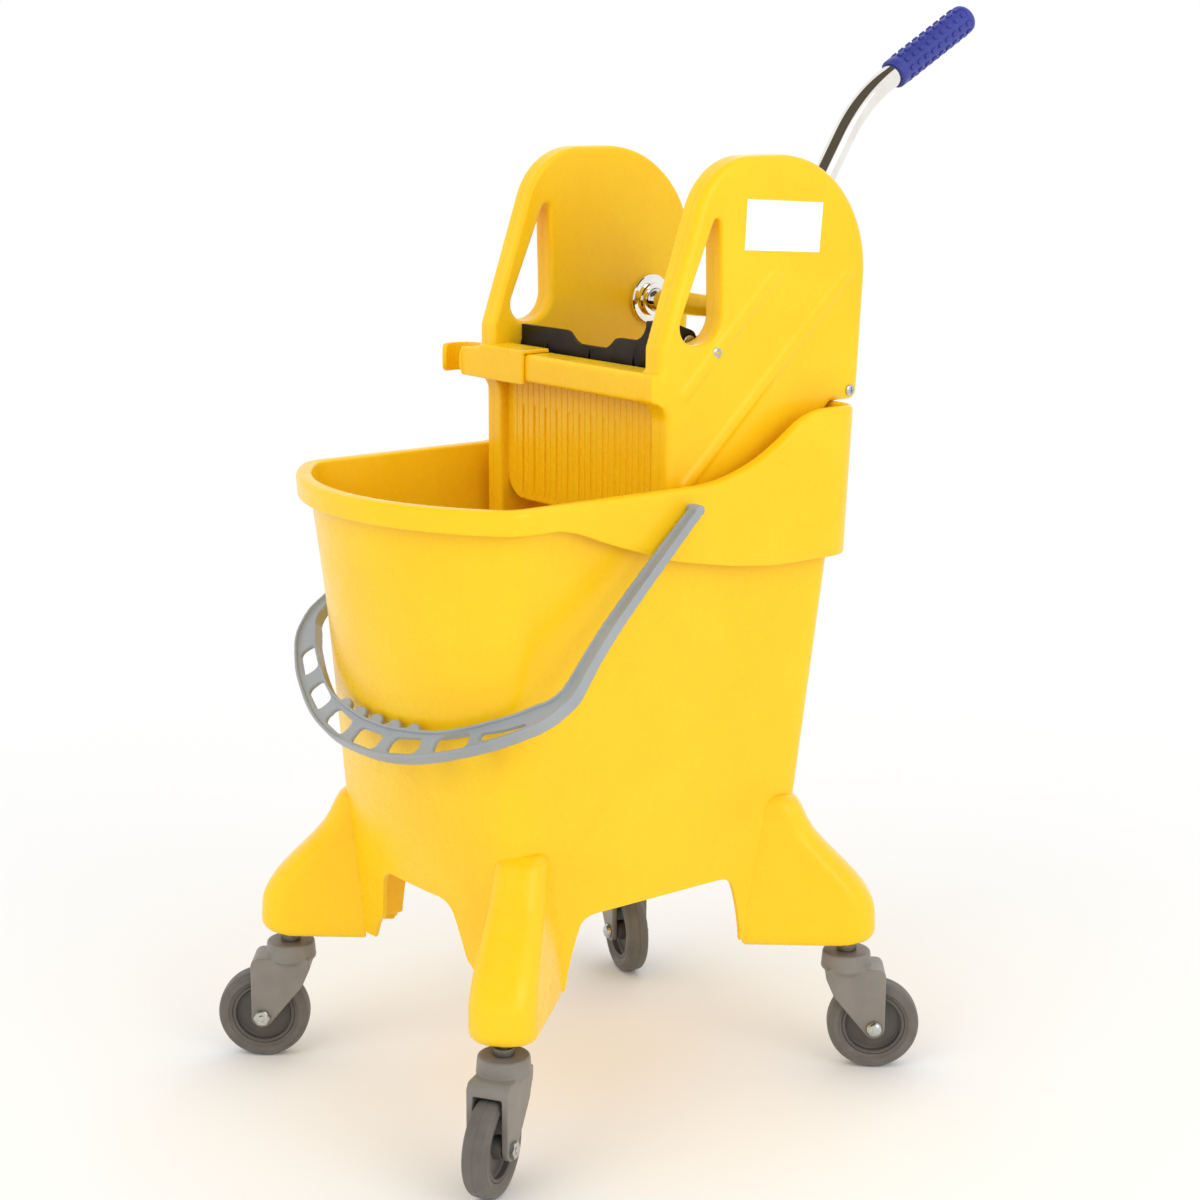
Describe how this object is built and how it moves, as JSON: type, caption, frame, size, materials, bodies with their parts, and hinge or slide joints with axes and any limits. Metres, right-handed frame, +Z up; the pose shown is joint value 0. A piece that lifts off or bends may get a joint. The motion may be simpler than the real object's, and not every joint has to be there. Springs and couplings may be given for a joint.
{
  "type": "mop bucket with wringer",
  "caption": "Wheeled mop bucket with swivel casters, bail handle and lift-off down-press wringer worked by a side lever.",
  "frame": {"origin": "on the floor, at the centre of the footprint of the whole object at rest", "axes": "+X across to the side with the pull link, +Y from the nose of the bucket to the lever grip, +Z up"},
  "size_m": [0.3858, 0.6217, 0.8562],
  "materials": {
    "yellow_plastic": "semi-gloss moulded polypropylene",
    "grey_plastic": "semi-gloss moulded polypropylene",
    "caster_plastic": "satin moulded nylon",
    "tyre_rubber": "matt non-marking rubber",
    "black_plastic": "satin moulded polypropylene",
    "chrome": "bright chrome plate",
    "zinc_steel": "bright zinc plate",
    "grip_plastic": "soft matt grip with raised studs"
  },
  "bodies": {
    "bucket_body": {"bucket": "yellow_plastic", "stem_front_left": "zinc_steel", "stem_front_right": "zinc_steel", "stem_rear_right": "zinc_steel", "stem_rear_left": "zinc_steel", "bail_pin_left": "grey_plastic", "bail_pin_right": "grey_plastic", "wringer_frame": "yellow_plastic", "cheek_cover_left": "yellow_plastic", "cheek_cover_right": "yellow_plastic", "shaft_flange_left": "chrome", "shaft_flange_right": "chrome", "cover_screw_left_1": "zinc_steel", "cover_screw_left_2": "zinc_steel", "cover_screw_left_3": "zinc_steel", "cover_screw_right_1": "zinc_steel", "cover_screw_right_2": "zinc_steel", "cover_screw_right_3": "zinc_steel", "mop_clip": "yellow_plastic", "press_plate_rod": "zinc_steel"},
    "bail": {"bail_handle": "grey_plastic"},
    "lever": {"cross_shaft": "chrome", "lever_socket": "chrome", "lever_tube": "chrome", "lever_grip": "grip_plastic", "crank_arm": "zinc_steel", "crank_pin": "zinc_steel"},
    "press": {"press_plate": "black_plastic", "ear_pin": "zinc_steel"},
    "link": {"pull_link": "zinc_steel"},
    "swivel_front_left": {"fork_front_left": "caster_plastic", "axle_front_left": "zinc_steel", "axle_nut_front_left": "zinc_steel"},
    "wheel_front_left": {"hub_front_left": "caster_plastic", "tyre_front_left": "tyre_rubber"},
    "swivel_front_right": {"fork_front_right": "caster_plastic", "axle_front_right": "zinc_steel", "axle_nut_front_right": "zinc_steel"},
    "wheel_front_right": {"hub_front_right": "caster_plastic", "tyre_front_right": "tyre_rubber"},
    "swivel_rear_right": {"fork_rear_right": "caster_plastic", "axle_rear_right": "zinc_steel", "axle_nut_rear_right": "zinc_steel"},
    "wheel_rear_right": {"hub_rear_right": "caster_plastic", "tyre_rear_right": "tyre_rubber"},
    "swivel_rear_left": {"fork_rear_left": "caster_plastic", "axle_rear_left": "zinc_steel", "axle_nut_rear_left": "zinc_steel"},
    "wheel_rear_left": {"hub_rear_left": "caster_plastic", "tyre_rear_left": "tyre_rubber"}
  },
  "joints": [
    {"name": "bail_swing", "type": "hinge", "parent": "bucket_body", "child": "bail", "pos_m": [-0.00035, -0.07833, 0.485], "axis": [-1, 0, 0], "range_deg": [0, 108]},
    {"name": "lever_pull", "type": "hinge", "parent": "bucket_body", "child": "lever", "pos_m": [-0.00035, 0.07867, 0.612], "axis": [1, 0, 0], "range_deg": [0, 80]},
    {"name": "press_swing", "type": "hinge", "parent": "bucket_body", "child": "press", "pos_m": [-0.00035, -0.05733, 0.472], "axis": [1, 0, 0], "range_deg": [-20.9, 1]},
    {"name": "link_swing", "type": "hinge", "parent": "press", "child": "link", "pos_m": [0.07465, -0.03733, 0.6], "axis": [1, 0, 0], "range_deg": [-1, 20.9]},
    {"name": "swivel_front_left", "type": "hinge", "parent": "bucket_body", "child": "swivel_front_left", "pos_m": [-0.14905, -0.25493, 0.09], "axis": [0, 0, 1], "continuous": true},
    {"name": "roll_front_left", "type": "hinge", "parent": "swivel_front_left", "child": "wheel_front_left", "pos_m": [-0.16353, -0.27281, 0.0375], "axis": [0.7771, -0.6293, 0], "continuous": true},
    {"name": "swivel_front_right", "type": "hinge", "parent": "bucket_body", "child": "swivel_front_right", "pos_m": [0.14835, -0.25493, 0.09], "axis": [0, 0, 1], "continuous": true},
    {"name": "roll_front_right", "type": "hinge", "parent": "swivel_front_right", "child": "wheel_front_right", "pos_m": [0.16019, -0.27465, 0.0375], "axis": [0.8572, 0.515, 0], "continuous": true},
    {"name": "swivel_rear_right", "type": "hinge", "parent": "bucket_body", "child": "swivel_rear_right", "pos_m": [0.14835, 0.09227, 0.09], "axis": [0, 0, 1], "continuous": true},
    {"name": "roll_rear_right", "type": "hinge", "parent": "swivel_rear_right", "child": "wheel_rear_right", "pos_m": [0.16313, 0.10988, 0.0375], "axis": [-0.766, 0.6428, 0], "continuous": true},
    {"name": "swivel_rear_left", "type": "hinge", "parent": "bucket_body", "child": "swivel_rear_left", "pos_m": [-0.14905, 0.09227, 0.09], "axis": [0, 0, 1], "continuous": true},
    {"name": "roll_rear_left", "type": "hinge", "parent": "swivel_rear_left", "child": "wheel_rear_left", "pos_m": [-0.12744, 0.0844, 0.0375], "axis": [0.342, 0.9397, 0], "continuous": true}
  ],
  "couplings": [
    {"joint": "press_swing", "follows": "lever_pull", "ratio": -0.2488},
    {"joint": "link_swing", "follows": "lever_pull", "ratio": 0.2488}
  ]
}
